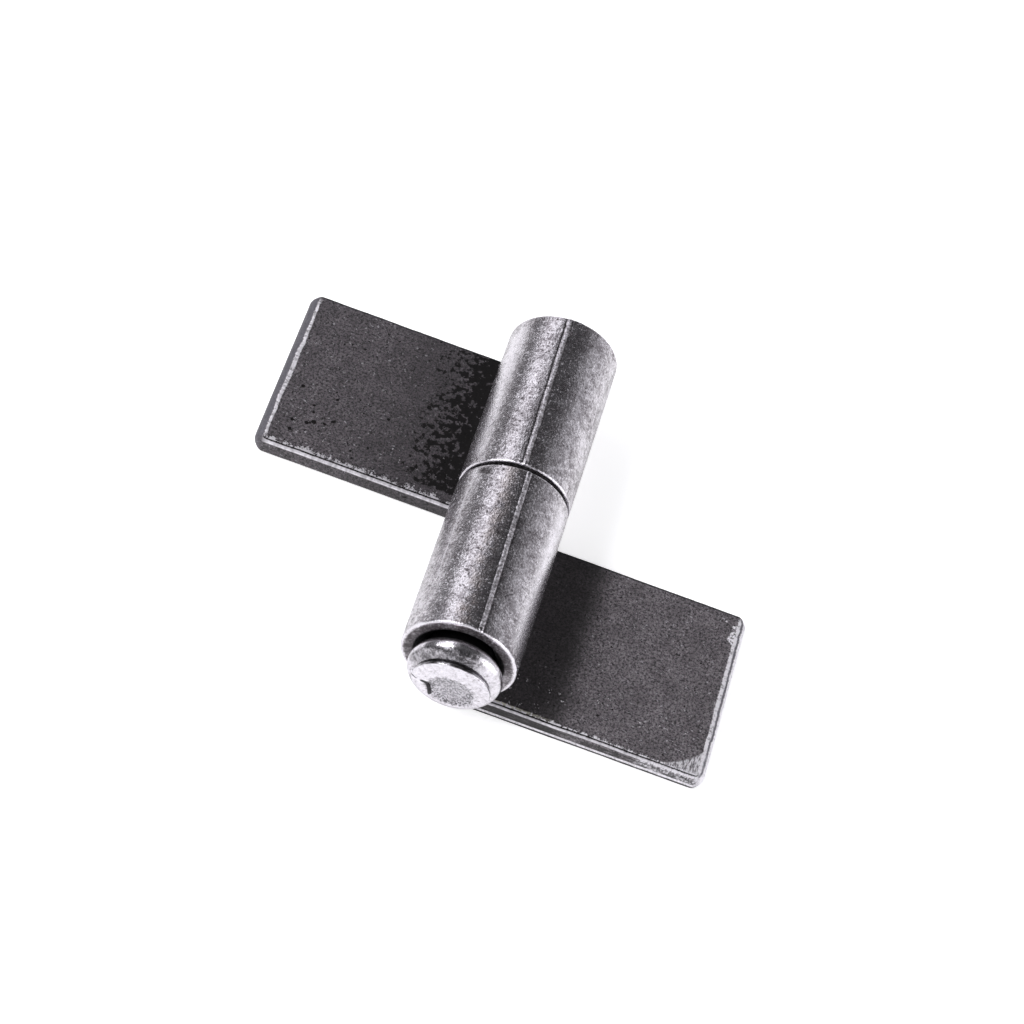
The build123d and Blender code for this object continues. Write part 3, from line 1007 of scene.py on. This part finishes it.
def add_floor():
    """A wide white floor just under the weld faces. It glows for the camera, which sees it as white
    with a soft shadow, and a little less in mirrored rays."""
    mesh = bpy.data.meshes.new("floor")
    side, level = 3.0, -0.02 * MM
    corners = [(-side, -side, level), (side, -side, level), (side, side, level), (-side, side, level)]
    mesh.from_pydata(corners, [], [(0, 1, 2, 3)])
    floor = linked("floor", mesh)
    paper = Skin("floor_paper")
    seen = paper.node("LightPath", output="Is Camera Ray")
    mirrored = paper.node("LightPath", output="Is Glossy Ray")
    paper.finish(
        Base_Color=(0.86, 0.86, 0.87),
        Roughness=0.9,
        Specular_IOR_Level=0.1,
        Emission_Color=(1, 1, 1),
        Emission_Strength=seen * 0.62 + mirrored * 0.48,
    )
    mesh.materials.append(paper.material)


# The room round the hinge line: angles from overhead towards +X in degrees, each with its level.
# Then the window: its direction, its level and the angles from its middle where it starts and is full
ROOM = (
    (-180, 0.45), (-104, 0.36), (-90, 0.1), (-60, 0.08), (-51, 1.6), (-38, 2.5), (-26, 0.35),
    (-13, 0.07), (0, 0.03), (20, 0.02), (32, 0.05), (46, 0.26), (58, 0.54), (75, 0.7), (180, 0.75),
)
WINDOW = ((0.88, -0.42, 0.22), (2.5, 2.5, 2.55), 42, 22)


def add_world():
    """White for what the camera sees past the floor. For the rest, a room of long panels along the
    barrel: dark overhead, a soft box at the upper left, a pale horizon, and a round window at the
    right."""
    world = bpy.data.worlds.new("room")
    bpy.context.scene.world = world
    room = Nodes(world)
    way = room.node("TexCoord", output="Generated")
    x, _, z = room.axes(way)
    panels = room.node("ValToRGB", inputs={0: x.angle_from(z).line(-math.pi, math.pi, 0.0, 1.0)})
    elements = panels.socket.node.color_ramp.elements
    while len(elements) < len(ROOM):
        elements.new(0.5)
    for element, (angle, level) in zip(elements, ROOM):
        element.position = angle / 360 + 0.5
        element.color = (level, level, level * 1.04, 1)
    direction, pane, start, full = WINDOW
    aimed = {0: way, 1: Vector(direction).normalized()}
    aim = room.node("VectorMath", {"operation": "DOT_PRODUCT"}, aimed, "Value")
    window = aim.ramp(math.cos(math.radians(start)), math.cos(math.radians(full)))
    lit = room.node("Background", inputs={"Color": room.layers(panels, (window, pane))})
    white = room.node("Background", inputs={"Color": (1, 1, 1)})
    seen = room.node("LightPath", output="Is Camera Ray")
    both = room.node("MixShader", inputs={0: seen, 1: lit, 2: white})
    room.feed(room.tree.nodes["World Output"].inputs["Surface"], both)


def add_lamp(name, direction, distance, width, height, power):
    """An upright soft box that shines at the middle of the hinge from a direction."""
    lamp = bpy.data.lights.new(name, "AREA")
    lamp.shape = "RECTANGLE"
    lamp.size, lamp.size_y = width, height
    lamp.energy = power
    target = Vector((0, JUNCTION_Y, AXIS_HEIGHT))
    way = Vector(direction).normalized()
    box = linked(name, lamp)
    box.location = target + way * distance
    box.rotation_euler = way.to_track_quat("Z", "Y").to_euler()


def add_camera(settings):
    """A long lens that looks down along the barrel from the pin's head, with the picture rolled."""
    azimuth, elevation, roll = settings.azimuth, settings.elevation, settings.roll
    level_part = math.cos(elevation)
    ahead = Vector((math.sin(azimuth) * level_part, math.cos(azimuth) * level_part, -math.sin(elevation)))
    level = Vector((math.cos(azimuth), -math.sin(azimuth), 0))
    upright = level.cross(ahead)
    right = level * math.cos(roll) + upright * math.sin(roll)
    up = upright * math.cos(roll) - level * math.sin(roll)
    target = Vector((0.437 * MM, JUNCTION_Y - 1.973 * MM, AXIS_HEIGHT))
    camera = bpy.data.cameras.new("camera")
    camera.lens = settings.lens
    camera.sensor_width = 36.0
    camera.clip_start, camera.clip_end = 0.01, 20.0
    viewer = linked("camera", camera)
    turn = Matrix((right, up, -ahead)).transposed().to_4x4()
    viewer.matrix_world = Matrix.Translation(target - ahead * settings.distance) @ turn
    bpy.context.scene.camera = viewer


class HINGE_OT_stage(bpy.types.Operator):
    """Set up the floor, the room, the lamps and the camera"""

    bl_idname = "hinge.stage"
    bl_label = "Stage"

    def execute(self, context):
        settings = context.scene.hinge_stage
        add_floor()
        add_world()
        direction = (-0.6, -0.31, 0.72)
        add_lamp("left_box", direction, 1.2, width=0.28, height=0.45, power=settings.lamp_power)
        add_camera(settings)
        context.scene.view_settings.view_transform = "Standard"
        return {"FINISHED"}


class HINGE_PT_panel(bpy.types.Panel):
    """Lists the hinge's builders"""

    bl_label = "Barrel hinge"
    bl_idname = "HINGE_PT_panel"
    bl_space_type = "VIEW_3D"
    bl_region_type = "UI"
    bl_category = "Hinge"

    def draw(self, context):
        for builder in BUILDERS:
            self.layout.operator(builder.bl_idname)


BUILDERS = (HINGE_OT_sleeves, HINGE_OT_leaves, HINGE_OT_pin, HINGE_OT_stage)
SETTINGS = {
    "hinge_sleeve": SleeveSettings,
    "hinge_leaf": LeafSettings,
    "hinge_pin": PinSettings,
    "hinge_stage": StageSettings,
}


def register():
    for kind in (*SETTINGS.values(), *BUILDERS, HINGE_PT_panel):
        bpy.utils.register_class(kind)
    for name, kind in SETTINGS.items():
        setattr(bpy.types.Scene, name, PointerProperty(type=kind))


def unregister():
    for name in SETTINGS:
        delattr(bpy.types.Scene, name)
    for kind in (HINGE_PT_panel, *reversed(BUILDERS), *SETTINGS.values()):
        bpy.utils.unregister_class(kind)


def main():
    register()
    bpy.ops.hinge.sleeves()
    bpy.ops.hinge.leaves()
    bpy.ops.hinge.pin()
    bpy.ops.hinge.stage()


if __name__ == "__main__":
    main()
